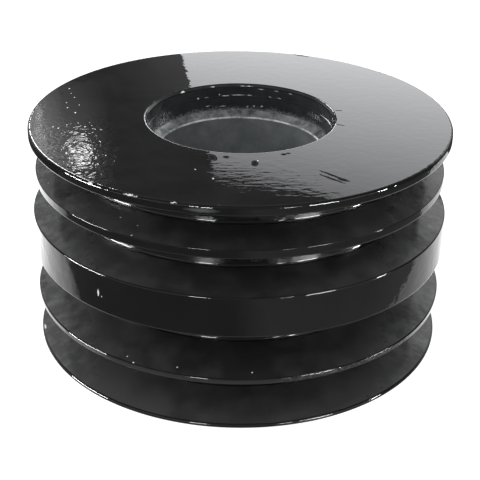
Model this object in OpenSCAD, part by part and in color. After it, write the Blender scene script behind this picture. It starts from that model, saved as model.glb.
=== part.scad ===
// Four-groove V-belt pulley, one iron casting turned all over
// Sizes in millimetres; the axis is Z, the pulley stands on its lower face at Z = 0

/* [Flanges] */
// diameter over the flanges and the middle land
outside_d = 160; // [150:1:180]
// how far the second flange stands back from the others, on the radius
second_drop = 1.8; // [0.2:0.1:2]
// land of the top flange
top_flange_t = 3.5; // [2.4:0.1:8]
// land of the second flange
second_flange_t = 3.2; // [2.5:0.1:6]
// wide land between the two pairs of grooves
middle_land_t = 15.3; // [6:0.1:30]
// land of the fourth flange
fourth_flange_t = 2.2; // [1.8:0.1:6]
// land of the bottom flange
bottom_flange_t = 1.6; // [1.6:0.1:8]
// round on the flange edges
edge_r = 0.8; // [0.3:0.1:0.8]

/* [Upper grooves] */
// mouth of the first groove at the outside diameter
groove_1_w = 13.9; // [13.2:0.1:16]
// mouth of the second groove at the outside diameter
groove_2_w = 14.4; // [13.2:0.1:16]
// depth below the outside diameter
upper_depth = 13.8; // [8:0.1:14.5]
// angle between the two walls
upper_angle = 38; // [32:1:38]

/* [Lower grooves] */
// mouth of the third groove at the outside diameter
groove_3_w = 17; // [15.5:0.1:20]
// mouth of the fourth groove at the outside diameter
groove_4_w = 17; // [15.5:0.1:20]
// depth below the outside diameter
lower_depth = 17.2; // [10:0.1:17.5]
// angle between the two walls
lower_angle = 34; // [32:1:38]

/* [Groove roots] */
// fillet where a wall meets the root
root_r = 1; // [0.4:0.1:1.2]

/* [Bore] */
// finished bore
bore_d = 63; // [40:0.5:66]
// recess at the upper end of the bore
recess_d = 70; // [69:0.2:80]
// depth of the recess wall
recess_depth = 10.5; // [8:0.1:16]
// fillet at the foot of the recess wall
recess_r = 1; // [0.4:0.1:1.2]
// relief turned in the mouth of the recess, on the radius
relief = 0.4; // [0.2:0.1:0.8]
// depth of the relief
relief_depth = 5.1; // [3:0.1:7]
// bevel round the mouth of the recess
mouth_bevel = 1; // [0.4:0.1:2]
// fall of the sloping ledge from the recess wall to the bore
ledge_fall = 2.2; // [1:0.1:4]
// bevel at the upper end of the bore
bore_bevel = 0.5; // [0.3:0.1:1]
// bevel at the lower end of the bore
foot_bevel = 1; // [0.4:0.1:2]

/* [Hidden] */
$fn = 180;
outside_r = outside_d / 2;
second_r = outside_r - second_drop;
upper_half = upper_angle / 2;
lower_half = lower_angle / 2;
second_virtual_t = second_flange_t - 2 * second_drop * tan(upper_half);
floor_4 = bottom_flange_t;
roof_4 = floor_4 + groove_4_w;
floor_3 = roof_4 + fourth_flange_t;
roof_3 = floor_3 + groove_3_w;
floor_2 = roof_3 + middle_land_t;
roof_2 = floor_2 + groove_2_w;
floor_1 = roof_2 + second_virtual_t;
roof_1 = floor_1 + groove_1_w;
height = roof_1 + top_flange_t;
second_mid = (roof_2 + floor_1) / 2;
bore_r = bore_d / 2;
recess_r_out = recess_d / 2;
relief_r = recess_r_out + relief;
ledge_inner_r = bore_r + bore_bevel;
ledge_slope = atan2(ledge_fall, recess_r_out - ledge_inner_r);
bore_top = height - recess_depth - ledge_fall - bore_bevel;
clear = 3;
// a fillet's circle is this much larger, so that it meets its walls without a sliver
weld = 0.0002;

// tangent length of a fillet between two lines that turn through 90 degrees less a
function tangent_len(r, a) = r * tan((90 - a) / 2);

// upper half of a V groove, mouth centre at the origin, with a filleted root
module groove_half(mouth_w, depth, half_angle) {
    root_half = mouth_w / 2 - depth * tan(half_angle);
    t = tangent_len(root_r, half_angle);
    wall_x = -depth + t * cos(half_angle);
    wall_y = root_half + t * sin(half_angle);
    far_y = mouth_w / 2 + clear * tan(half_angle);
    polygon([[clear, -0.01], [clear, far_y], [wall_x, wall_y], [-depth, root_half - t], [-depth, -0.01]]);
    translate([-depth + root_r, root_half - t])
        circle(r = root_r + weld);
}

// whole V groove
module groove(mouth_w, depth, half_angle) {
    groove_half(mouth_w, depth, half_angle);
    mirror([0, 1])
        groove_half(mouth_w, depth, half_angle);
}

// what the round takes off an edge whose land stands up from the origin
// and whose wall runs inwards and down at the given slope
module edge_round(slope) {
    t = tangent_len(edge_r, slope);
    difference() {
        polygon([[-edge_r, t], [0, t], [clear, t], [clear, -clear], [-t * cos(slope), -t * sin(slope)]]);
        translate([-edge_r, t])
            circle(r = edge_r);
    }
}

// rounds on both edges of a land between two heights
module land_rounds(r, low, high, low_slope, high_slope) {
    translate([r, low])
        edge_round(low_slope);
    translate([r, high])
        mirror([0, 1])
            edge_round(high_slope);
}

// recess, ledge and bore as one open space
module bore_space() {
    t = recess_r * tan((90 - ledge_slope) / 2);
    foot = height - recess_depth;
    polygon([
        [0, -clear],
        [bore_r + foot_bevel + clear, -clear],
        [bore_r, foot_bevel],
        [bore_r, bore_top],
        [ledge_inner_r, bore_top + bore_bevel],
        [recess_r_out - t * cos(ledge_slope), foot - t * sin(ledge_slope)],
        [recess_r_out, foot + t],
        [recess_r_out, height - relief_depth],
        [relief_r, height - relief_depth],
        [relief_r, height - mouth_bevel],
        [relief_r + mouth_bevel + clear, height + clear],
        [0, height + clear]
    ]);
    translate([recess_r_out - recess_r, foot + t])
        circle(r = recess_r + weld);
}

// half section, radius along X and height along Y
module section() {
    difference() {
        square([outside_r, height]);
        translate([second_r, second_mid - second_flange_t])
            square([clear + second_drop, 2 * second_flange_t]);
        translate([outside_r, (floor_1 + roof_1) / 2])
            groove(groove_1_w, upper_depth, upper_half);
        translate([outside_r, (floor_2 + roof_2) / 2])
            groove(groove_2_w, upper_depth, upper_half);
        translate([outside_r, (floor_3 + roof_3) / 2])
            groove(groove_3_w, lower_depth, lower_half);
        translate([outside_r, (floor_4 + roof_4) / 2])
            groove(groove_4_w, lower_depth, lower_half);
        land_rounds(outside_r, roof_1, height, upper_half, 0);
        land_rounds(second_r, second_mid - second_flange_t / 2, second_mid + second_flange_t / 2, upper_half, upper_half);
        land_rounds(outside_r, roof_3, floor_2, lower_half, upper_half);
        land_rounds(outside_r, roof_4, floor_3, lower_half, lower_half);
        land_rounds(outside_r, 0, floor_4, 0, lower_half);
        bore_space();
    }
}

// the casting, turned, bored and painted
module pulley() {
    color([0.035, 0.036, 0.038])
        rotate_extrude()
            section();
}

pulley();
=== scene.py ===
"""Four-groove belt pulley in gloss black enamel, with its bright machined bore, on a plain studio floor."""

import math

import bmesh
import bpy
from mathutils import Matrix, Vector


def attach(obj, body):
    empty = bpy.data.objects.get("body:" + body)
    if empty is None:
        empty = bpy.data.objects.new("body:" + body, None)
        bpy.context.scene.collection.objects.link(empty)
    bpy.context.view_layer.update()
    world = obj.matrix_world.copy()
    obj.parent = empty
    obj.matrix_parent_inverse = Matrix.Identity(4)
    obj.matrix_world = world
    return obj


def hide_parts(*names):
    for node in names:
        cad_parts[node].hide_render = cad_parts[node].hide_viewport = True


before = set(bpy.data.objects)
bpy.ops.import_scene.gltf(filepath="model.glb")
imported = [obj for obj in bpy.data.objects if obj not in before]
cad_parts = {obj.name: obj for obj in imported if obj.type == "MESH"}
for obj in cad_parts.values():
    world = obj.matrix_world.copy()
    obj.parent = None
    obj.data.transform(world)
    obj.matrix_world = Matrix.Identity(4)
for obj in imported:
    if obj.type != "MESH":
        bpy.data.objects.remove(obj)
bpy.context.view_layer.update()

bl_info = {
    "name": "Belt Pulley",
    "version": (1, 0, 0),
    "blender": (4, 5, 0),
    "location": "3D View > Sidebar > Pulley",
    "description": "Builds a painted V-belt pulley and the studio that it stands in",
    "category": "Object",
}

MM, MICRON = 1e-3, 1e-6

# Finishes of the casting, in the order of its material slots
ENAMEL, LAND, WALL, EDGE, RECESS, IRON, MIST, WORN = range(8)

# Rounds on the casting: shares of the common edge round, then small rounds of their own
RIM_SHARE, THIN_SHARE, SHARP_SHARE = 1.2, 0.75, 0.35
FINE_R, BARE_R, STEP_R, RELIEF_R, MOUTH_R = 0.7 * MM, 0.1 * MM, 0.2 * MM, 0.15 * MM, 0.5 * MM
# A round larger than this gets the first count of segments, and a smaller one the second
WIDE_ROUND, WIDE_SEGMENTS, SMALL_SEGMENTS = 0.3 * MM, 6, 3
# How near doubles merge, a vertex is on its corner and a face is flush, and how little an upright face leans
MERGE, ON_CORNER, FLUSH, UPRIGHT = 1 * MICRON, 2 * MICRON, 0.1 * MM, 0.02

# Spacing of the turning lines in millimetres; the wave texture counts 20 radians to a unit
TURNING_LINES, WAVE_RADIANS = 0.349066, 20

# Marks on the top face lie on this height and reach this far over and under it, in millimetres
TOP_Z, TOP_REACH = 87, 1


def on_top(*rows):
    """Marks on the top face, from rows of x, y, two half sizes and the turn."""
    return [((x, y, TOP_Z), (wide, deep, TOP_REACH), turn) for x, y, wide, deep, turn in rows]


# Marks in the paint and painted highlights, in millimetres: centre, half sizes and turn about the axis in degrees
SCRATCHES = on_top(
    (32.0, -55.0, 4.7, 0.4, -43.4),
    (31.0, -57.3, 4.0, 0.4, -42.5),
    (34.8, -58.0, 1.5, 0.7, -35),
    (5.2, -45.2, 0.9, 1.8, 0),
    (-4.8, -40.0, 0.9, 0.8, -40),
    (-9.7, -40.5, 1.2, 2.2, 20),
    (37.8, 6.9, 1.0, 0.3, 0),
    (37.4, -8.2, 1.2, 0.3, -24),
    (15.3, -36.9, 0.7, 0.6, 0),
    (17.0, -35.9, 0.6, 0.5, 0),
    (25.9, 74.0, 3.0, 0.5, -26),
)
# Dust nibs on the top face, drawn pale as painted glints
TOP_GLINT_SPECKS = on_top(
    (-15.1, -51.1, 0.25, 0.35, 0),
    (-8.8, -58.4, 0.3, 0.45, 0),
    (-46.9, -40.1, 0.25, 0.4, 0),
    (6.2, -42.9, 0.25, 0.5, 0),
    (-69.0, 27.5, 0.3, 0.5, 0),
    (-67.4, 22.0, 0.2, 0.35, 0),
    (-65.5, 17.5, 0.25, 0.4, 0),
    (-67.9, 11.5, 0.2, 0.35, 0),
    (-66.8, 6.0, 0.25, 0.4, 0),
    (-63.0, 1.0, 0.3, 0.45, 0),
    (-69.2, -14.0, 0.3, 0.45, 0),
    (-67.0, -15.0, 0.25, 0.35, 0),
    (-60.6, -9.5, 0.2, 0.35, 0),
    (-57.4, -13.5, 0.25, 0.4, 0),
    (-54.0, -19.0, 0.2, 0.35, 0),
    (-62.7, 9.1, 0.2, 0.35, 0),
    (-64.3, -12.0, 0.2, 0.35, 0),
    (-53.5, -15.6, 0.2, 0.3, 0),
)
LAND_CHIPS = (
    ((-48.6, -63.5, 45.2), (0.35, 0.5, 1.3), 0),
    ((-47.3, -64.5, 44.1), (0.2, 0.3, 0.3), 0),
)
WALL_SPECKS = (
    ((-40.3, -59.3, 72.3), (0.22, 0.22, 0.4), 0),
    ((-34.1, -64.4, 71.9), (0.22, 0.22, 0.4), 0),
    ((-35.8, -68.7, 70.3), (0.3, 0.3, 0.5), 0),
    ((-38.9, -67.4, 21.5), (0.25, 0.25, 0.5), 0),
    ((-36.5, -70.5, 21.0), (0.35, 0.3, 0.5), 0),
    ((-20.8, -74.2, 21.7), (0.25, 0.25, 0.4), 0),
    ((5.3, -76.8, 21.7), (0.25, 0.25, 0.5), 0),
    ((-77.4, -16.6, 1.9), (0.45, 1.7, 0.6), 14),
)
# Pale dashes on the top rim, drawn like worn paint: painted highlights
PAINTED_EDGE_HIGHLIGHTS = (
    ((-35.4, -71.6, 86.6), (2.4, 0.4, 0.3), -26),
    ((-21.1, -77.0, 86.6), (1.0, 0.4, 0.3), -15),
    ((-49.5, -62.6, 86.4), (1.0, 0.4, 0.5), -38),
)
SMEARS = (((-12.0, -79.2, 85.0), (4.4, 1.2, 0.6), -9),)
# Pale streaks and spots in the recess: painted highlights along its step, its foot and its mouth
RECESS_PAINTED_HIGHLIGHTS = (
    ((-17.4, 30.8, 82.2), (0.35, 0.6, 0.3), 0),
    ((-14.0, 32.4, 82.1), (1.6, 0.6, 0.1), -24),
    ((-8.8, 34.3, 82.7), (0.15, 0.6, 0.4), 0),
    ((-6.5, 34.8, 82.1), (2.2, 0.6, 0.14), -11),
    ((-1.2, 35.4, 82.3), (2.6, 0.6, 0.14), -2),
    ((3.6, 35.2, 82.3), (0.9, 0.6, 0.1), 6),
    ((11.9, 33.3, 82.3), (0.6, 0.6, 0.1), 20),
    ((15.5, 31.8, 82.4), (1.6, 0.6, 0.1), 26),
    ((-13.4, 32.3, 78.4), (2.2, 0.6, 0.1), -22),
    ((-7.4, 34.2, 77.8), (2.6, 0.6, 0.1), -12),
    ((2.8, 34.9, 77.6), (0.4, 0.6, 0.15), 5),
    ((5.4, 34.6, 77.8), (0.4, 0.6, 0.15), 9),
    ((8.6, 33.9, 78.0), (0.4, 0.6, 0.15), 14),
    ((-23.4, 27.1, 86.1), (1.2, 0.9, 0.4), -41),
    ((-11.5, 33.8, 86.2), (1.9, 0.6, 0.12), -19),
    ((2.3, 35.5, 86.0), (2.8, 0.6, 0.12), 4),
    ((8.2, 34.4, 85.2), (2.4, 0.6, 0.1), 13),
    ((14.5, 32.3, 85.2), (2.4, 0.6, 0.09), 24),
    ((20.0, 29.2, 85.2), (2.8, 0.6, 0.1), 34),
)
BARE_PATCHES = (
    ((-31.0, 16.5, 78.0), (3.0, 6.5, 2.4), 0),
    ((30.2, 18.0, 79.4), (2.6, 5.0, 0.9), 0),
    ((-32.5, 11.0, 75.6), (3.0, 8.0, 1.6), 0),
)
# Where the paint has a texture of its own: three parts of the top, and the rough run on the fourth flange
BRUSHED_FRONT = (((5, -55, 87), (26, 17, 9), -12),)
CURLED_LEFT = (((-56, -42, 87), (20, 34, 9), 0),)
GRAINY_RIM = (((-76, -8, 87), (14, 36, 9), 0),)
ROUGH_RUN = (((46, -61, 19.7), (30, 26, 2.6), 42),)


def length(name, default, description):
    """A length property in metres, given in millimetres."""
    return bpy.props.FloatProperty(name=name, description=description, default=default / 1000, min=0.0,
                                   unit="LENGTH", precision=5)


def angle(name, default, description):
    """An angle property in radians, given in degrees."""
    return bpy.props.FloatProperty(name=name, description=description, default=math.radians(default),
                                   subtype="ANGLE")


def linear(code):
    """Turns an sRGB hex colour into the linear values that a shader takes."""
    parts = [int(code[i:i + 2], 16) / 255 for i in (1, 3, 5)]
    return [v / 12.92 if v <= 0.04045 else ((v + 0.055) / 1.055) ** 2.4 for v in parts] + [1.0]


def paint(name, code, description):
    """A colour property, given as an sRGB hex value."""
    return bpy.props.FloatVectorProperty(name=name, description=description, default=linear(code), size=4,
                                         min=0.0, max=1.0, subtype="COLOR")


class PulleySizes(bpy.types.PropertyGroup):
    """Sizes of the turned section, the same as the part's own"""

    outside_d: length("Outside diameter", 160, "Diameter over the flanges and the middle land")
    second_drop: length("Second flange drop", 1.8, "How far the second flange stands back on the radius")
    top_flange_t: length("Top flange", 3.5, "Land of the top flange")
    second_flange_t: length("Second flange", 3.2, "Land of the second flange")
    middle_land_t: length("Middle land", 15.3, "Wide land between the pairs of grooves")
    fourth_flange_t: length("Fourth flange", 2.2, "Land of the fourth flange")
    bottom_flange_t: length("Bottom flange", 1.6, "Land of the bottom flange")
    edge_r: length("Edge round", 0.8, "Round on the flange edges")
    groove_1_w: length("Groove 1 mouth", 13.9, "Mouth of the first groove at the outside diameter")
    groove_2_w: length("Groove 2 mouth", 14.4, "Mouth of the second groove at the outside diameter")
    groove_3_w: length("Groove 3 mouth", 17.0, "Mouth of the third groove at the outside diameter")
    groove_4_w: length("Groove 4 mouth", 17.0, "Mouth of the fourth groove at the outside diameter")
    upper_depth: length("Upper depth", 13.8, "Depth of the upper grooves")
    lower_depth: length("Lower depth", 17.2, "Depth of the lower grooves")
    upper_angle: angle("Upper angle", 38, "Angle between the walls of the upper grooves")
    lower_angle: angle("Lower angle", 34, "Angle between the walls of the lower grooves")
    root_r: length("Root fillet", 1.0, "Fillet where a groove wall meets the root")
    bore_d: length("Bore", 63, "Finished bore")
    recess_d: length("Recess", 70, "Recess at the upper end of the bore")
    recess_depth: length("Recess depth", 10.5, "Depth of the recess wall")
    recess_r: length("Recess fillet", 1.0, "Fillet at the foot of the recess wall")
    relief: length("Relief", 0.4, "Relief in the mouth of the recess, on the radius")
    relief_depth: length("Relief depth", 5.1, "Depth of the relief")
    mouth_bevel: length("Mouth bevel", 1.0, "Bevel round the mouth of the recess")
    ledge_fall: length("Ledge fall", 2.2, "Fall of the ledge from the recess wall to the bore")
    bore_bevel: length("Bore bevel", 0.5, "Bevel at the upper end of the bore")
    foot_bevel: length("Foot bevel", 1.0, "Bevel at the lower end of the bore")
    steps: bpy.props.IntProperty(name="Steps", description="Steps of the turned surface", default=256, min=32,
                                 max=512)


class PulleyFinish(bpy.types.PropertyGroup):
    """Colours of the paint and the bare iron"""

    enamel: paint("Enamel", "#0f0f0f", "Gloss black enamel")
    enamel_dusty: paint("Enamel, dusty", "#1b1b1b", "The enamel under a film of dust")
    wall: paint("Wall", "#1e1e1e", "Enamel on the groove walls")
    wall_dusty: paint("Wall, dusty", "#3a3a3a", "Dusty patches on the groove walls")
    # pale dust on the lands, and painted sheen towards the sides of the walls
    dust_and_sheen: paint("Bloom", "#585a5a", "Pale bloom towards the sides of the walls")
    chip: paint("Chip", "#dcdcd8", "Filler that shows in chips and specks")
    iron: paint("Iron", "#565a5b", "Oiled iron in the bore")
    iron_rubbed: paint("Iron, rubbed", "#747778", "Rubbed patches in the bore")
    mist: paint("Mist", "#36383a", "Paint mist on the ledge")
    mist_bare: paint("Mist, bare", "#7c7f80", "Ledge where the mist is thin")
    # on the bore's upper bevel this pale colour is also a painted highlight
    bare: paint("Bare iron", "#c4c7c8", "Bright iron on the bore's upper bevel")


class StudioSetup(bpy.types.PropertyGroup):
    """Camera and light levels of the studio"""

    lens: bpy.props.FloatProperty(name="Lens", description="Focal length in millimetres on a 36 mm sensor",
                                  default=84.6, min=20.0, unit="CAMERA")
    distance: length("Distance", 402.87, "Camera's distance in front of the axis")
    height: length("Height", 242.23, "Camera's height over the floor")
    aside: length("Aside", 0.44, "Camera's offset to the right of the axis")
    tilt: angle("Tilt", 27.377, "How far the camera looks down")
    roll: angle("Roll", 0.788, "Turn of the camera about its own axis")
    soft_level: bpy.props.FloatProperty(name="Soft level", default=0.3, min=0.0,
                                        description="Strength of the even light from the room")


def add(tree, kind, inputs=None, **settings):
    """Adds one node, sets its fields, and sets its sockets or links them to a socket or a node's first output."""
    node = tree.nodes.new("ShaderNode" + kind)
    for name, value in settings.items():
        setattr(node, name, value)
    for key, value in (inputs or {}).items():
        if isinstance(value, bpy.types.Node):
            value = next(output for output in value.outputs if output.enabled)
        if isinstance(value, bpy.types.NodeSocket):
            tree.links.new(value, node.inputs[key])
        else:
            node.inputs[key].default_value = value
    return node


def new_material(name):
    """An empty node material."""
    material = bpy.data.materials.new(name)
    material.use_nodes = True
    material.node_tree.nodes.clear()
    return material, material.node_tree


def pitch(size):
    """Scale of a pattern whose features lie this many millimetres apart."""
    return 1000 / size


def marks(tree, coords, places, soft=0.25):
    """A mask over small ellipsoids, each given by its centre and half sizes in millimetres and its turn about
    the axis in degrees."""
    found = None
    for centre, half, turn in places:
        local = add(tree, "Mapping", {"Vector": coords, "Location": [v / 1000 for v in centre],
                                      "Rotation": (0.0, 0.0, math.radians(turn)),
                                      "Scale": [v / 1000 for v in half]}, vector_type="TEXTURE")
        reach = add(tree, "VectorMath", {0: local}, operation="LENGTH")
        mask = add(tree, "MapRange", {"Value": reach, "From Min": 1.0 - soft, "From Max": 1.0 + soft,
                                      "To Min": 1.0, "To Max": 0.0})
        found = add(tree, "Math", {0: found, 1: mask}, operation="MAXIMUM") if found else mask
    return found


def uneven(tree, coords, size, amount):
    """The coordinates pushed about by a noise, so that what is drawn on them gets an irregular outline; the
    noise's size and its push are in millimetres."""
    shift = add(tree, "TexNoise", {"Vector": coords, "Scale": pitch(size), "Detail": 2.0})
    centred = add(tree, "VectorMath", {0: shift.outputs["Color"], 1: (0.5, 0.5, 0.5)}, operation="SUBTRACT")
    return add(tree, "VectorMath", {0: centred, 1: (amount / 1000,) * 3, 2: coords}, operation="MULTIPLY_ADD")


def top_enamel(finish):
    """Gloss black enamel brushed over a faced top: a deep mirror with a faint ripple, so that reflected edges
    come out ragged."""
    material, tree = new_material("Gloss_black_enamel")
    coords = add(tree, "TexCoord").outputs["Object"]
    dust = add(tree, "TexNoise", {"Vector": coords, "Scale": pitch(12), "Detail": 4.0, "Roughness": 0.6})
    film = add(tree, "MapRange", {"Value": dust, "From Min": 0.3, "From Max": 0.7})
    colour = add(tree, "Mix", {"Factor": film, "A": finish.enamel, "B": finish.enamel_dusty}, data_type="RGBA")
    rough = add(tree, "MapRange", {"Value": dust, "To Min": 0.012, "To Max": 0.025})
    # nicks and scratches, whose tilted floors mirror the dark of the room, and dust nibs drawn pale as painted
    # glints
    wavy = uneven(tree, coords, 1.2, 0.8)
    nicks = marks(tree, wavy, SCRATCHES, 0.5)
    specks = marks(tree, wavy, TOP_GLINT_SPECKS)
    colour = add(tree, "Mix", {"Factor": nicks, "A": colour, "B": linear("#050505")}, data_type="RGBA")
    colour = add(tree, "Mix", {"Factor": specks, "A": colour, "B": finish.chip}, data_type="RGBA")
    rough = add(tree, "Mix", {"Factor": specks, "A": rough, "B": 0.5}, data_type="FLOAT")
    # ripple of the paint: long and faint everywhere, stretched along the brush at the front, curled at the
    # left and short at the left rim
    swell = add(tree, "TexNoise", {"Vector": coords, "Scale": pitch(18), "Detail": 1.0})
    ripple = add(tree, "TexNoise", {"Vector": coords, "Scale": pitch(3.6), "Detail": 2.0})
    along = add(tree, "Mapping", {"Vector": coords, "Scale": (0.3, 1.0, 1.0)})
    brush = add(tree, "TexNoise", {"Vector": along, "Scale": pitch(1.8), "Detail": 2.0, "Distortion": 0.4})
    curl = add(tree, "TexNoise", {"Vector": coords, "Scale": pitch(3.8), "Detail": 1.0, "Roughness": 0.4,
                                  "Distortion": 1.8})
    grain = add(tree, "TexNoise", {"Vector": coords, "Scale": pitch(1.3), "Detail": 2.0, "Distortion": 0.8})
    front = marks(tree, coords, BRUSHED_FRONT, 0.4)
    left = marks(tree, coords, CURLED_LEFT, 0.4)
    rim = marks(tree, coords, GRAINY_RIM, 0.5)
    bump = add(tree, "Bump", {"Height": swell, "Distance": 6 * MICRON})
    for height, strength, deep in ((ripple, 1.0, 13), (brush, front, 22), (curl, left, 50), (grain, rim, 15)):
        bump = add(tree, "Bump", {"Height": height, "Strength": strength, "Distance": deep * MICRON,
                                  "Normal": bump})
    facet = add(tree, "Mix", {"Factor": nicks, "A": bump, "B": (0.0, -0.26, 0.97)}, data_type="VECTOR")
    shader = add(tree, "BsdfPrincipled", {"Base Color": colour, "Roughness": rough, "IOR": 1.5, "Normal": facet})
    add(tree, "OutputMaterial", {"Surface": shader})
    return material


def land_enamel(finish):
    """The same enamel on the turned lands: as glossy, but it sagged a little, so that what it mirrors has a wavy
    edge."""
    material, tree = new_material("Gloss_black_enamel_on_lands")
    coords = add(tree, "TexCoord").outputs["Object"]
    dust = add(tree, "TexNoise", {"Vector": coords, "Scale": pitch(12), "Detail": 4.0, "Roughness": 0.6})
    colour = add(tree, "Mix", {"Factor": dust, "A": finish.enamel, "B": finish.enamel_dusty}, data_type="RGBA")
    wavy = uneven(tree, coords, 1.2, 0.8)
    chips = marks(tree, wavy, LAND_CHIPS)
    smear = marks(tree, wavy, SMEARS, 0.5)
    colour = add(tree, "Mix", {"Factor": chips, "A": colour, "B": finish.chip}, data_type="RGBA")
    colour = add(tree, "Mix", {"Factor": smear, "A": colour, "B": finish.dust_and_sheen}, data_type="RGBA")
    rough = add(tree, "MapRange", {"Value": dust, "To Min": 0.03, "To Max": 0.06})
    rough = add(tree, "Mix", {"Factor": chips, "A": rough, "B": 0.7}, data_type="FLOAT")
    # the rough run on the fourth flange, gritty and paler
    sag = add(tree, "TexNoise", {"Vector": coords, "Scale": pitch(9), "Detail": 3.0, "Roughness": 0.55})
    grit = add(tree, "TexNoise", {"Vector": coords, "Scale": pitch(1.2), "Detail": 2.0})
    run = marks(tree, coords, ROUGH_RUN, 0.4)
    pale = add(tree, "MapRange", {"Value": grit, "From Min": 0.45, "From Max": 0.65, "To Max": 0.8})
    pale = add(tree, "Math", {0: pale, 1: run}, operation="MULTIPLY")
    colour = add(tree, "Mix", {"Factor": pale, "A": colour, "B": finish.dust_and_sheen}, data_type="RGBA")
    bump = add(tree, "Bump", {"Height": sag, "Distance": 200 * MICRON})
    bump = add(tree, "Bump", {"Height": grit, "Strength": run, "Distance": 160 * MICRON, "Normal": bump})
    bump = add(tree, "Bump", {"Height": chips, "Distance": 200 * MICRON, "Normal": bump}, invert=True)
    shader = add(tree, "BsdfPrincipled", {"Base Color": colour, "Roughness": rough, "IOR": 1.5, "Normal": bump})
    add(tree, "OutputMaterial", {"Surface": shader})
    return material


def wall_enamel(finish):
    """Thinner enamel over the coarser turned walls of the grooves: satin and blotchy, and drawn paler towards either
    side as painted sheen."""
    material, tree = new_material("Black_enamel_on_turned_iron")
    coords = add(tree, "TexCoord").outputs["Object"]
    mottle = add(tree, "TexNoise", {"Vector": coords, "Scale": pitch(9), "Detail": 4.0, "Roughness": 0.6})
    place = add(tree, "SeparateXYZ", {0: coords})
    # paler towards either side as painted sheen, and paler still on the lowest wall
    across = add(tree, "Math", {0: place.outputs["X"]}, operation="ABSOLUTE")
    sides = add(tree, "MapRange", {"Value": across, "From Min": 10 * MM, "From Max": 60 * MM, "To Min": -0.33,
                                   "To Max": 0.4})
    low = add(tree, "MapRange", {"Value": place.outputs["Z"], "From Min": 20 * MM, "From Max": 4 * MM,
                                 "To Min": -0.15, "To Max": 0.45})
    spread = add(tree, "MapRange", {"Value": mottle, "From Min": 0.2, "From Max": 0.8})
    spread = add(tree, "Math", {0: spread, 1: low}, operation="ADD")
    spread = add(tree, "Math", {0: spread, 1: sides}, operation="ADD", use_clamp=True)
    colour = add(tree, "Mix", {"Factor": spread, "A": finish.wall, "B": finish.wall_dusty}, data_type="RGBA")
    # pale painted sheen towards the ends of the walls, in patches with a frayed outline
    aside = add(tree, "MapRange", {"Value": across, "From Min": 45 * MM, "From Max": 75 * MM})
    frayed = add(tree, "TexNoise", {"Vector": coords, "Scale": pitch(6), "Detail": 3.0, "Roughness": 0.6})
    patches = add(tree, "MapRange", {"Value": frayed, "From Min": 0.42, "From Max": 0.68})
    ends = add(tree, "MapRange", {"Value": aside, "From Min": 0.15, "From Max": 0.9})
    dust_and_sheen = add(tree, "Math", {0: ends, 1: patches}, operation="MULTIPLY")
    colour = add(tree, "Mix", {"Factor": dust_and_sheen, "A": colour, "B": finish.dust_and_sheen}, data_type="RGBA")
    specks = marks(tree, uneven(tree, coords, 1.2, 0.6), WALL_SPECKS)
    colour = add(tree, "Mix", {"Factor": specks, "A": colour, "B": finish.chip}, data_type="RGBA")
    rough = add(tree, "MapRange", {"Value": mottle, "From Min": 0.3, "From Max": 0.7, "To Min": 0.28,
                                   "To Max": 0.4})
    rough = add(tree, "Mix", {"Factor": aside, "A": rough, "B": 0.11}, data_type="FLOAT")
    sag = add(tree, "TexNoise", {"Vector": coords, "Scale": pitch(6), "Detail": 2.0})
    bump = add(tree, "Bump", {"Height": mottle, "Distance": 100 * MICRON})
    bump = add(tree, "Bump", {"Height": sag, "Strength": aside, "Distance": 150 * MICRON, "Normal": bump})
    shader = add(tree, "BsdfPrincipled", {"Base Color": colour, "Roughness": rough, "IOR": 1.5, "Normal": bump})
    add(tree, "OutputMaterial", {"Surface": shader})
    return material


def edge_enamel(finish):
    """Enamel drawn thin over the rounded edges, the groove roots and their fillets: glossy but lumpy, so that the
    highlights along them break into dashes. A few pale dashes on the top rim are painted highlights."""
    material, tree = new_material("Thin_black_enamel_on_edges")
    coords = add(tree, "TexCoord").outputs["Object"]
    lumps = add(tree, "TexNoise", {"Vector": coords, "Scale": pitch(7), "Detail": 3.0, "Roughness": 0.6})
    colour = add(tree, "Mix", {"Factor": lumps, "A": finish.enamel, "B": finish.enamel_dusty}, data_type="RGBA")
    # pale painted highlights on the top rim
    edge_highlights = marks(tree, uneven(tree, coords, 0.9, 1.6), PAINTED_EDGE_HIGHLIGHTS, 0.3)
    colour = add(tree, "Mix", {"Factor": edge_highlights, "A": colour, "B": finish.chip}, data_type="RGBA")
    rough = add(tree, "Mix", {"Factor": edge_highlights, "A": 0.05, "B": 0.3}, data_type="FLOAT")
    # the top rim took the brush's last drops, and the fourth flange a rough run
    place = add(tree, "SeparateXYZ", {0: coords})
    rim = add(tree, "MapRange", {"Value": place.outputs["Z"], "From Min": 84 * MM, "From Max": 85.5 * MM})
    drops = add(tree, "TexNoise", {"Vector": coords, "Scale": pitch(3.5), "Detail": 2.0})
    grit = add(tree, "TexNoise", {"Vector": coords, "Scale": pitch(1.2), "Detail": 2.0})
    run = marks(tree, coords, ROUGH_RUN, 0.4)
    bump = add(tree, "Bump", {"Height": lumps, "Distance": 200 * MICRON})
    bump = add(tree, "Bump", {"Height": drops, "Strength": rim, "Distance": 160 * MICRON, "Normal": bump})
    bump = add(tree, "Bump", {"Height": grit, "Strength": run, "Distance": 160 * MICRON, "Normal": bump})
    shader = add(tree, "BsdfPrincipled", {"Base Color": colour, "Roughness": rough, "IOR": 1.5, "Normal": bump})
    add(tree, "OutputMaterial", {"Surface": shader})
    return material


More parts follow.
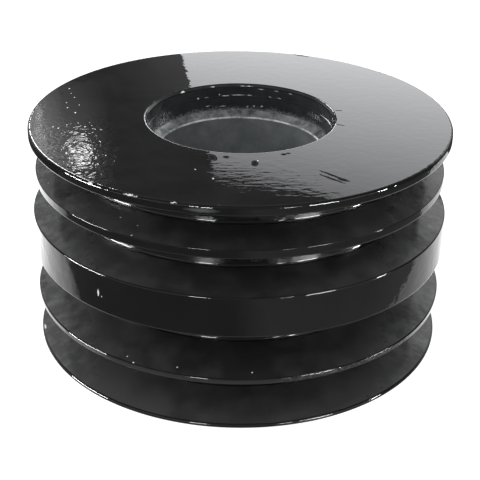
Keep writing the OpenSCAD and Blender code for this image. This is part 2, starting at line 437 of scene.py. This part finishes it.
def recess_enamel(finish):
    """Enamel that ran down into the recess: lumpy black, with a ragged grey edge where it thins out towards the
    ledge."""
    material, tree = new_material("Black_enamel_in_recess")
    coords = add(tree, "TexCoord").outputs["Object"]
    runs = add(tree, "TexNoise", {"Vector": coords, "Scale": pitch(4), "Detail": 4.0, "Roughness": 0.6})
    colour = add(tree, "Mix", {"Factor": runs, "A": finish.enamel_dusty, "B": finish.mist}, data_type="RGBA")
    ragged = uneven(tree, uneven(tree, coords, 0.9, 4), 7, 3)
    place = add(tree, "SeparateXYZ", {0: ragged})
    thin = add(tree, "MapRange", {"Value": place.outputs["Z"], "From Min": 75.2 * MM, "From Max": 78 * MM,
                                  "To Min": 1.0, "To Max": 0.0})
    speckle = add(tree, "TexNoise", {"Vector": coords, "Scale": pitch(0.6), "Detail": 2.0})
    speckle = add(tree, "MapRange", {"Value": speckle, "From Min": 0.42, "From Max": 0.62})
    mist = add(tree, "Mix", {"Factor": speckle, "A": finish.mist, "B": finish.mist_bare}, data_type="RGBA")
    colour = add(tree, "Mix", {"Factor": thin, "A": colour, "B": mist}, data_type="RGBA")
    # patches rubbed through to the iron, and pale streaks and spots that are painted highlights along the step, the
    # foot and the mouth of the recess
    rubbed = add(tree, "Math", {0: marks(tree, ragged, BARE_PATCHES, 0.6), 1: speckle}, operation="MULTIPLY")
    rubbed = add(tree, "Math", {0: rubbed, 1: 0.6}, operation="MULTIPLY")
    colour = add(tree, "Mix", {"Factor": rubbed, "A": colour, "B": finish.bare}, data_type="RGBA")
    recess_highlights = marks(tree, uneven(tree, coords, 0.8, 0.7), RECESS_PAINTED_HIGHLIGHTS, 0.3)
    colour = add(tree, "Mix", {"Factor": recess_highlights, "A": colour, "B": finish.chip}, data_type="RGBA")
    rough = add(tree, "Mix", {"Factor": thin, "A": 0.12, "B": 0.7}, data_type="FLOAT")
    bump = add(tree, "Bump", {"Height": runs, "Distance": 45 * MICRON})
    shader = add(tree, "BsdfPrincipled", {"Base Color": colour, "Roughness": rough, "IOR": 1.5, "Normal": bump})
    add(tree, "OutputMaterial", {"Surface": shader})
    return material


def machined_iron(finish):
    """Bored grey iron, oiled and smudged: dull, with paler rubbed patches, and fine turning lines that are drawn
    coarser than they are so that they show."""
    material, tree = new_material("Machined_grey_iron")
    coords = add(tree, "TexCoord").outputs["Object"]
    smudge = add(tree, "TexNoise", {"Vector": coords, "Scale": pitch(11), "Detail": 5.0, "Roughness": 0.65})
    rubbed = add(tree, "MapRange", {"Value": smudge, "From Min": 0.35, "From Max": 0.7})
    colour = add(tree, "Mix", {"Factor": rubbed, "A": finish.iron, "B": finish.iron_rubbed}, data_type="RGBA")
    rough = add(tree, "MapRange", {"Value": smudge, "To Min": 0.6, "To Max": 0.8})
    lines = add(tree, "TexWave", {"Vector": coords, "Scale": pitch(TURNING_LINES) * math.tau / WAVE_RADIANS,
                                  "Distortion": 0.6, "Detail": 1.0}, wave_type="BANDS", bands_direction="Z")
    bump = add(tree, "Bump", {"Height": lines.outputs["Fac"], "Strength": 0.4, "Distance": 8 * MICRON})
    shader = add(tree, "BsdfPrincipled", {"Base Color": colour, "Metallic": 0.1, "Roughness": rough,
                                          "Specular IOR Level": 0.2, "Normal": bump})
    add(tree, "OutputMaterial", {"Surface": shader})
    return material


def misted_iron(finish):
    """The ledge: iron under a thin dry mist of black paint, blotchy and without gloss."""
    material, tree = new_material("Iron_with_paint_mist")
    coords = add(tree, "TexCoord").outputs["Object"]
    blotch = add(tree, "TexNoise", {"Vector": coords, "Scale": pitch(5), "Detail": 6.0, "Roughness": 0.7})
    patches = add(tree, "MapRange", {"Value": blotch, "From Min": 0.35, "From Max": 0.65})
    colour = add(tree, "Mix", {"Factor": patches, "A": finish.mist, "B": finish.mist_bare}, data_type="RGBA")
    rubbed = add(tree, "Math", {0: marks(tree, coords, BARE_PATCHES, 0.6), 1: patches}, operation="MULTIPLY")
    colour = add(tree, "Mix", {"Factor": rubbed, "A": colour, "B": finish.bare}, data_type="RGBA")
    bump = add(tree, "Bump", {"Height": blotch, "Distance": 400 * MICRON})
    shader = add(tree, "BsdfPrincipled", {"Base Color": colour, "Roughness": 0.75, "Specular IOR Level": 0.3,
                                          "Normal": bump})
    add(tree, "OutputMaterial", {"Surface": shader})
    return material


def worn_iron(finish):
    """The bore's upper bevel: bare iron in patches, drawn pale as a painted highlight along the bore's edge."""
    material, tree = new_material("Bare_iron_with_painted_highlight")
    coords = add(tree, "TexCoord").outputs["Object"]
    rub = add(tree, "TexNoise", {"Vector": coords, "Scale": pitch(4), "Detail": 4.0, "Roughness": 0.65})
    patches = add(tree, "MapRange", {"Value": rub, "From Min": 0.35, "From Max": 0.6})
    colour = add(tree, "Mix", {"Factor": patches, "A": finish.iron_rubbed, "B": finish.bare}, data_type="RGBA")
    shader = add(tree, "BsdfPrincipled", {"Base Color": colour, "Metallic": 0.3, "Roughness": 0.5})
    add(tree, "OutputMaterial", {"Surface": shader})
    return material


# In the order of the finishes named at the top
MATERIALS = (top_enamel, land_enamel, wall_enamel, edge_enamel, recess_enamel, machined_iron, misted_iron, worn_iron)


def corners(s):
    """The section's corners as radius, height, round and the finish of that round, from the recess mouth round
    the outside and up the bore."""
    outer = s.outside_d / 2
    second = outer - s.second_drop
    tan_up, tan_low = math.tan(s.upper_angle / 2), math.tan(s.lower_angle / 2)
    floor_4 = s.bottom_flange_t
    roof_4 = floor_4 + s.groove_4_w
    floor_3 = roof_4 + s.fourth_flange_t
    roof_3 = floor_3 + s.groove_3_w
    floor_2 = roof_3 + s.middle_land_t
    roof_2 = floor_2 + s.groove_2_w
    floor_1 = roof_2 + s.second_flange_t - 2 * s.second_drop * tan_up
    roof_1 = floor_1 + s.groove_1_w
    top = roof_1 + s.top_flange_t
    middle = (roof_2 + floor_1) / 2
    bore, recess = s.bore_d / 2, s.recess_d / 2
    relief = recess + s.relief
    ledge = top - s.recess_depth - s.ledge_fall
    upper, lower = outer - s.upper_depth, outer - s.lower_depth
    rise_up, rise_low = s.upper_depth * tan_up, s.lower_depth * tan_low
    edge, root, rim = (s.edge_r, EDGE), (s.root_r, EDGE), (s.edge_r * RIM_SHARE, EDGE)
    sharp, thin = (s.edge_r * SHARP_SHARE, EDGE), (s.edge_r * THIN_SHARE, EDGE)
    fine, bare, bright = (FINE_R, EDGE), (BARE_R, IRON), (BARE_R, WORN)
    return [
        (relief + s.mouth_bevel, top, *fine),
        (outer, top, *rim),
        (outer, roof_1, *edge),
        (upper, roof_1 - rise_up, *root),
        (upper, floor_1 + rise_up, *root),
        (second, middle + s.second_flange_t / 2, *sharp),
        (second, middle - s.second_flange_t / 2, *edge),
        (upper, roof_2 - rise_up, *root),
        (upper, floor_2 + rise_up, *root),
        (outer, floor_2, *thin),
        (outer, roof_3, *edge),
        (lower, roof_3 - rise_low, *root),
        (lower, floor_3 + rise_low, *root),
        (outer, floor_3, *thin),
        (outer, roof_4, *edge),
        (lower, roof_4 - rise_low, *root),
        (lower, floor_4 + rise_low, *root),
        (outer, floor_4, *edge),
        (outer, 0.0, *edge),
        (bore + s.foot_bevel, 0.0, *fine),
        (bore, s.foot_bevel, *bare),
        (bore, ledge - s.bore_bevel, *bright),
        (bore + s.bore_bevel, ledge, *bright),
        (recess, top - s.recess_depth, s.recess_r, RECESS),
        (recess, top - s.relief_depth, STEP_R, EDGE),
        (relief, top - s.relief_depth, RELIEF_R, RECESS),
        (relief, top - s.mouth_bevel, MOUTH_R, EDGE),
    ]


def finish_of(face, s, top):
    """The finish of a turned face, from where it lies on the section."""
    centre = face.calc_center_median()
    radius = math.hypot(centre.x, centre.y)
    ledge = top - s.recess_depth - s.ledge_fall
    if centre.z < FLUSH or centre.z > top - FLUSH:
        return ENAMEL
    if radius < s.recess_d / 2 - FLUSH:
        return IRON if centre.z < ledge - s.bore_bevel else WORN if centre.z < ledge else MIST
    if radius < s.recess_d / 2 + s.relief + s.mouth_bevel:
        return RECESS
    if abs(face.normal.z) < UPRIGHT:
        # an upright face is a land outside, and a groove's root further in
        return LAND if radius > s.outside_d / 2 - s.upper_depth / 2 else EDGE
    return WALL


def at_corner(vert, radius, height):
    """Whether a vertex lies on the loop that this corner of the section was spun into."""
    return abs(math.hypot(vert.co.x, vert.co.y) - radius) < ON_CORNER and abs(vert.co.z - height) < ON_CORNER


class PULLEY_OT_casting(bpy.types.Operator):
    """Spin the section into the painted casting"""

    bl_idname = "pulley.casting"
    bl_label = "Build Casting"

    def execute(self, context):
        s = context.scene.pulley_sizes
        section = corners(s)
        top = section[0][1]
        bm = bmesh.new()
        points = [bm.verts.new((r, 0.0, z)) for r, z, _, _ in section]
        chain = [bm.edges.new((points[i - 1], points[i])) for i in range(len(points))]
        bmesh.ops.spin(bm, geom=points + chain, cent=(0, 0, 0), axis=(0, 0, 1), angle=math.tau, steps=s.steps,
                       use_merge=True)
        bmesh.ops.remove_doubles(bm, verts=bm.verts, dist=MERGE)
        bmesh.ops.recalc_face_normals(bm, faces=bm.faces)
        for face in bm.faces:
            face.material_index = finish_of(face, s, top)
        for i, (r, z, size, finish) in enumerate(section):
            before, after = section[i - 1], section[(i + 1) % len(section)]
            into = Vector((r - before[0], z - before[1]))
            turn = into.angle(Vector((after[0] - r, after[1] - z)))
            loop = [edge for edge in bm.edges if all(at_corner(vert, r, z) for vert in edge.verts)]
            made = bmesh.ops.bevel(bm, geom=loop, offset=size * math.tan(turn / 2), offset_type="OFFSET",
                                   segments=WIDE_SEGMENTS if size > WIDE_ROUND else SMALL_SEGMENTS, profile=0.5,
                                   affect="EDGES", material=-1, clamp_overlap=False)
            for face in made["faces"]:
                face.material_index = finish
        bmesh.ops.recalc_face_normals(bm, faces=bm.faces)
        for face in bm.faces:
            face.smooth = True
        mesh = bpy.data.meshes.new("pulley_casting")
        bm.to_mesh(mesh)
        bm.free()
        for material in MATERIALS:
            mesh.materials.append(material(context.scene.pulley_finish))
        piece = bpy.data.objects.new("pulley_casting", mesh)
        context.scene.collection.objects.link(piece)
        keep_flat = piece.modifiers.new("Flat faces stay flat", "WEIGHTED_NORMAL")
        keep_flat.mode = "FACE_AREA"
        keep_flat.weight = 100
        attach(piece, "root")
        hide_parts("pulley")
        return {"FINISHED"}


# How finely the glow is graded across a card, the sides of a round card, and the height in millimetres of the
# point from which the studio's wall is measured
CARD_CUTS, DISC_SIDES, EYE_Z = 7, 48, 60


def upright(y, left, right, low, high):
    """Corners of a card that stands this far behind the axis and faces the front."""
    return [(left, y, low), (right, y, low), (right, y, high), (left, y, high)]


def sheet(z, *places):
    """Corners of a sheet that lies flat at this height."""
    return [(x, y, z) for x, y in places]


def patch(distance, left, right, low, high):
    """Corners of a card on the studio's wall, by its bearing from straight behind and its height in degrees, as
    seen from the pulley."""
    corners_mm = []
    for turn, climb in ((left, low), (right, low), (right, high), (left, high)):
        turn, climb = math.radians(turn), math.radians(climb)
        reach = distance * math.cos(climb)
        corners_mm.append((reach * math.sin(turn), reach * math.cos(turn), EYE_Z + distance * math.sin(climb)))
    return corners_mm


# Cards that only reflections see, in millimetres: their corners, and their glow at each corner or all over
CARDS = (
    # Tall board behind the pulley, which the right of the top face mirrors
    ("board_behind", [(-165, 900, 0), (520, 900, 0), (520, 900, 640), (-33, 900, 509)], (6.5, 6.3, 1.38, 1.15)),
    # Dark flag beside it, which keeps the left of the top face black, with a paler strip next to the board
    ("flag_behind", [(-450, 920, 0), (-60, 920, 0), (520, 920, 720), (-450, 920, 720)], (0.03, 0.12, 0.1, 0.1)),
    ("flag_strip", [(-200, 915, 250), (-90, 915, 250), (-40, 915, 520), (-110, 915, 520)], (0.08, 0.34, 0.08, 0.08)),
    # Small lamps far left, broken into glitter by the ripple of the enamel, and a pale haze beyond them
    ("glint_0", upright(890, -213, -187, 476, 496), 8.0),
    ("glint_1", upright(890, -251, -245, 429, 435), 6.0),
    ("glint_2", upright(890, -254, -248, 452, 458), 6.0),
    ("glint_3", upright(890, -246, -240, 473, 479), 6.0),
    ("haze_left", upright(895, -268, -222, 388, 530), (0.6, 0.25, 0.9, 2.0)),
    ("haze_left_inner", upright(895, -222, -160, 388, 530), (0.2, 0.075, 0.1, 0.75)),
    # Bright strip in front of the haze, which only the rounded rim sees, as a thin line
    ("rim_strip", upright(600, -330, -222, 310, 640), 25.0),
    # Low narrow lamps round the front and sides, which run as dashes along the edges and the groove roots; they
    # stay lower than the top face, which never mirrors them
    ("lamp_left", patch(900, -112, -86, -3.2, 1.6), 150.0),
    ("lamp_front_left", patch(900, -166, -157, -3.2, 1.6), 85.0),
    ("lamp_front_right", patch(900, 132, 147, -3.2, 1.6), 125.0),
    ("lamp_front_small", patch(900, 153, 158, -3.2, 1.6), 52.0),
    ("lamp_right", patch(900, 103.5, 109, -3.2, 1.6), 200.0),
    ("lamp_left_dim", patch(900, -157, -112, -3.2, 1.6), 3.0),
    ("lamp_right_dim", patch(900, 109, 132, -3.2, 1.6), 4.5),
    # Pale walls of the room beside the pulley, seen in the ends of the groove walls
    ("side_left_low", patch(1000, -46, -27, 17, 33), (0.64, 0.34, 0.4, 0.8)),
    ("side_left_low_inner", patch(1000, -27, -17.5, 17, 33), (0.34, 0.07, 0.07, 0.4)),
    ("side_left_high", patch(1000, -46, -27, 33, 62), (0.8, 0.4, 0.24, 0.24)),
    ("side_left_high_inner", patch(1000, -27, -17.5, 33, 62), (0.4, 0.07, 0.07, 0.24)),
    ("side_right_low", patch(1000, 22, 44, 12, 30), (1.0, 1.1, 1.1, 1.0)),
    # Low dark screen behind on the right, which keeps the bevel of the recess mouth black
    ("screen_right", patch(860, 13, 50, -4, 12), 0.15),
    # Paper on the floor at either side, seen in the lands
    ("paper_left", sheet(0.15, (-70, -68), (-200, 11), (-205, 62), (-40, 40)), (1.5, 0.9, 2.9, 2.6)),
    ("paper_left_edge", sheet(0.15, (-76, -78), (-206, 1), (-200, 11), (-70, -68)), (0.1, 0.1, 0.9, 1.5)),
    ("paper_left_back", sheet(0.15, (-40, 40), (-205, 62), (-150, 140), (-30, 140)), (2.6, 2.9, 1.9, 1.6)),
    ("paper_right", sheet(0.15, (100, -77), (40, 30), (160, 60), (189, 28)), (0.75, 1.3, 1.6, 1.0)),
    ("paper_right_back", sheet(0.15, (40, 30), (30, 150), (233, 150), (233, 50), (189, 28), (160, 60)),
     (1.3, 1.2, 1.4, 1.5, 1.0, 1.6)),
    ("paper_left_near", sheet(0.18, (-116, -34), (-88, -34), (-88, 0), (-116, 0)), 2.2),
    ("paper_right_near", sheet(0.18, (84, -38), (108, -38), (110, 30), (84, 30)), (1.8, 1.6, 2.9, 2.9)),
)
# The floor close by is light, and a dark disc under the foot is a painted contact shadow that the enamel mirrors:
# centre, radius and glow of its round cards
DISCS = (
    ("floor_near", (0, 0, 0.1), 118, 0.65),
    ("floor_contact_shadow", (0, 4.2, 0.2), 85.5, 0.02),
)
# Further out in front, the floor is darker on the left than on the right
FLOOR_CARDS = (
    ("floor_left", sheet(0.05, (-500, -500), (-5, -500), (-5, 20), (-500, 20)), (0.1, 0.14, 0.14, 0.1)),
    ("floor_middle", sheet(0.05, (-5, -500), (30, -500), (30, 20), (-5, 20)), (0.14, 0.36, 0.36, 0.14)),
    ("floor_right", sheet(0.05, (30, -500), (300, -500), (300, 50), (30, 50)), (0.36, 0.15, 0.12, 0.36)),
)
# Large soft lamps overhead, in front and at both sides, which reflections don't show: place and size in
# metres, and power; all are turned to one point
LAMPS = (
    ("overhead", (0.0, 0.1, 1.4), 1.4, 9.0),
    ("front", (-0.2, -1.0, 1.0), 1.2, 9.0),
    ("side_left", (-1.1, 0.15, 0.5), 0.9, 9.0),
    ("side_right", (1.1, 0.15, 0.5), 0.9, 5.0),
)
LAMP_AIM = Vector((0.0, 0.0, 0.05))
# The mirrored room's level from low to high, and its share from the front round to the back: light behind the
# pulley, dark at its sides and dim in front
ROOM_BY_HEIGHT = ((0.30, 0.45), (0.42, 0.6), (0.50, 0.5), (0.62, 0.42), (0.74, 0.34), (0.86, 0.25), (0.94, 0.2))
ROOM_BY_BEARING = ((0.2, 0.5), (0.35, 0.12), (0.70, 0.12), (0.87, 1.0))
# Half the floor's side, how far it lies under the foot, and the length of a ray that starts between the two
FLOOR_HALF, FLOOR_GAP, GAP_RAY = 4.0, 0.02 * MM, 0.1 * MM
SENSOR_MM, CLIP_START = 36.0, 0.01


def glowing(name, code):
    """The light of a studio card, as strong as the card's glow at each point."""
    material, tree = new_material(name)
    glow = add(tree, "Attribute", attribute_name="glow")
    light = add(tree, "Emission", {"Color": linear(code), "Strength": glow.outputs["Fac"]})
    add(tree, "OutputMaterial", {"Surface": light})
    return material


def hang(context, name, bm, material):
    """Turns a mesh into a studio card that only reflections see."""
    mesh = bpy.data.meshes.new(name)
    bm.to_mesh(mesh)
    bm.free()
    mesh.materials.append(material)
    piece = bpy.data.objects.new(name, mesh)
    context.scene.collection.objects.link(piece)
    piece.visible_camera = piece.visible_diffuse = piece.visible_shadow = piece.visible_transmission = False


def card(context, name, corners_mm, glow, material):
    """A flat card by its corners, with one glow all over or its own at each of them."""
    bm = bmesh.new()
    layer = bm.verts.layers.float.new("glow")
    points = [bm.verts.new(Vector(p) / 1000) for p in corners_mm]
    for point, level in zip(points, glow if isinstance(glow, tuple) else (glow,) * len(points)):
        point[layer] = level
    bm.faces.new(points)
    if len(points) == 4:
        bmesh.ops.subdivide_edges(bm, edges=bm.edges, cuts=CARD_CUTS, use_grid_fill=True)
    hang(context, name, bm, material)


def disc(context, name, centre_mm, radius_mm, level, material):
    """A round card that lies flat, with one glow all over."""
    bm = bmesh.new()
    layer = bm.verts.layers.float.new("glow")
    bmesh.ops.create_circle(bm, cap_ends=True, radius=radius_mm / 1000, segments=DISC_SIDES,
                            matrix=Matrix.Translation(Vector(centre_mm) / 1000))
    for point in bm.verts:
        point[layer] = level
    hang(context, name, bm, material)


def floor_paint():
    """Plain matt white floor: to the camera it is white with the pulley's shadow, and in the enamel it is dark."""
    material, tree = new_material("Plain_white_floor")
    path = add(tree, "LightPath")
    matt = add(tree, "BsdfDiffuse", {"Color": linear("#b4b4b4")})
    white = add(tree, "Emission", {"Color": linear("#ffffff"), "Strength": 0.8})
    seen = add(tree, "AddShader", {0: matt, 1: white})
    mirrored = add(tree, "Emission", {"Color": linear("#ffffff"), "Strength": 0.05})
    straight = add(tree, "Math", {0: path.outputs["Is Camera Ray"], 1: path.outputs["Is Transmission Ray"]},
                   operation="MAXIMUM")
    surface = add(tree, "MixShader", {0: straight, 1: matt, 2: seen})
    surface = add(tree, "MixShader", {0: path.outputs["Is Glossy Ray"], 1: surface, 2: mirrored})
    # from below the floor is clear, so that the foot of the pulley can be looked at
    under = add(tree, "Math", {0: path.outputs["Ray Length"], 1: GAP_RAY}, operation="LESS_THAN")
    under = add(tree, "Math", {0: under, 1: add(tree, "NewGeometry").outputs["Backfacing"]}, operation="MAXIMUM")
    surface = add(tree, "MixShader", {0: under, 1: surface, 2: add(tree, "BsdfTransparent")})
    add(tree, "OutputMaterial", {"Surface": surface})
    return material


def lay_floor(context):
    """The plain floor, a hair under the foot of the pulley."""
    mesh = bpy.data.meshes.new("floor")
    bm = bmesh.new()
    bmesh.ops.create_grid(bm, x_segments=1, y_segments=1, size=FLOOR_HALF,
                          matrix=Matrix.Translation((0.0, 0.0, -FLOOR_GAP)))
    bm.to_mesh(mesh)
    bm.free()
    mesh.materials.append(floor_paint())
    floor = bpy.data.objects.new("floor", mesh)
    context.scene.collection.objects.link(floor)


def hang_lamps(context):
    """The soft lamps, each turned to the pulley."""
    for name, place, size, energy in LAMPS:
        light = bpy.data.lights.new(name, "AREA")
        light.size = size
        light.energy = energy
        lamp = bpy.data.objects.new(name, light)
        lamp.location = place
        lamp.rotation_euler = (LAMP_AIM - Vector(place)).to_track_quat("-Z", "Y").to_euler()
        lamp.visible_glossy = False
        context.scene.collection.objects.link(lamp)


def studio_room(soft_level):
    """The world: white to the camera, an even soft light on the pulley, and a dim room in its reflections."""
    world = bpy.data.worlds.new("Studio")
    world.use_nodes = True
    tree = world.node_tree
    tree.nodes.clear()
    path = add(tree, "LightPath")
    coords = add(tree, "TexCoord").outputs["Generated"]
    climb = add(tree, "ValToRGB", {0: add(tree, "SeparateXYZ", {0: coords}).outputs["Z"]})
    level = add(tree, "VectorMath", {0: coords, 1: (1.0, 1.0, 0.0)}, operation="MULTIPLY")
    level = add(tree, "SeparateXYZ", {0: add(tree, "VectorMath", {0: level}, operation="NORMALIZE")})
    bearing = add(tree, "MapRange", {"Value": level.outputs["Y"], "From Min": -1.0, "From Max": 1.0})
    turn = add(tree, "ValToRGB", {0: bearing})
    for ramp, stops in ((climb.color_ramp, ROOM_BY_HEIGHT), (turn.color_ramp, ROOM_BY_BEARING)):
        while len(ramp.elements) < len(stops):
            ramp.elements.new(1.0)
        for element, (position, grey) in zip(ramp.elements, stops):
            element.position, element.color = position, (grey, grey, grey, 1.0)
    room = add(tree, "Background", {"Color": climb, "Strength": turn})
    plain = add(tree, "Background", {"Color": linear("#ffffff"), "Strength": soft_level})
    white = add(tree, "Background", {"Color": linear("#ffffff"), "Strength": 1.0})
    seen = add(tree, "MixShader", {0: path.outputs["Is Glossy Ray"], 1: plain, 2: room})
    straight = add(tree, "Math", {0: path.outputs["Is Camera Ray"], 1: path.outputs["Is Transmission Ray"]},
                   operation="MAXIMUM")
    surface = add(tree, "MixShader", {0: straight, 1: seen, 2: white})
    add(tree, "OutputWorld", {"Surface": surface})
    return world


def set_camera(context, setup):
    """The camera at the photograph's angle."""
    view = bpy.data.cameras.new("camera")
    view.sensor_width = SENSOR_MM
    view.lens = setup.lens
    view.clip_start = CLIP_START
    camera = bpy.data.objects.new("camera", view)
    camera.location = (setup.aside, -setup.distance, setup.height)
    camera.rotation_mode = "ZXY"
    camera.rotation_euler = (math.pi / 2 - setup.tilt, 0.0, setup.roll)
    context.scene.collection.objects.link(camera)
    context.scene.camera = camera


class PULLEY_OT_stage(bpy.types.Operator):
    """Lay the floor, hang the lights and set the camera"""

    bl_idname = "pulley.stage"
    bl_label = "Build Studio"

    def execute(self, context):
        setup = context.scene.pulley_studio
        white, cool = glowing("Studio_card", "#ffffff"), glowing("Studio_board", "#fbfcff")
        for name, corners_mm, glow in CARDS:
            card(context, name, corners_mm, glow, cool if name == "board_behind" else white)
        for name, centre_mm, radius_mm, level in DISCS:
            disc(context, name, centre_mm, radius_mm, level, white)
        for name, corners_mm, glow in FLOOR_CARDS:
            card(context, name, corners_mm, glow, white)
        lay_floor(context)
        hang_lamps(context)
        context.scene.world = studio_room(setup.soft_level)
        set_camera(context, setup)
        context.scene.view_settings.view_transform = "Standard"
        return {"FINISHED"}


class PULLEY_PT_panel(bpy.types.Panel):
    """Sizes and studio of the belt pulley"""

    bl_label = "Belt Pulley"
    bl_idname = "PULLEY_PT_panel"
    bl_space_type = "VIEW_3D"
    bl_region_type = "UI"
    bl_category = "Pulley"

    def draw(self, context):
        scene = context.scene
        for groups, operator in (((scene.pulley_sizes, scene.pulley_finish), PULLEY_OT_casting),
                                 ((scene.pulley_studio,), PULLEY_OT_stage)):
            column = self.layout.column(align=True)
            for group in groups:
                for name in group.bl_rna.properties.keys():
                    if name not in ("rna_type", "name"):
                        column.prop(group, name)
            self.layout.operator(operator.bl_idname)


CLASSES = (PulleySizes, PulleyFinish, StudioSetup, PULLEY_OT_casting, PULLEY_OT_stage, PULLEY_PT_panel)


def register():
    """Adds the classes and their settings."""
    for item in CLASSES:
        bpy.utils.register_class(item)
    bpy.types.Scene.pulley_sizes = bpy.props.PointerProperty(type=PulleySizes)
    bpy.types.Scene.pulley_finish = bpy.props.PointerProperty(type=PulleyFinish)
    bpy.types.Scene.pulley_studio = bpy.props.PointerProperty(type=StudioSetup)


def unregister():
    """Takes the settings and classes away again."""
    del bpy.types.Scene.pulley_studio
    del bpy.types.Scene.pulley_finish
    del bpy.types.Scene.pulley_sizes
    for item in reversed(CLASSES):
        bpy.utils.unregister_class(item)


def main():
    """Builds the casting and the studio."""
    register()
    bpy.ops.pulley.casting()
    bpy.ops.pulley.stage()


if __name__ == "__main__":
    main()
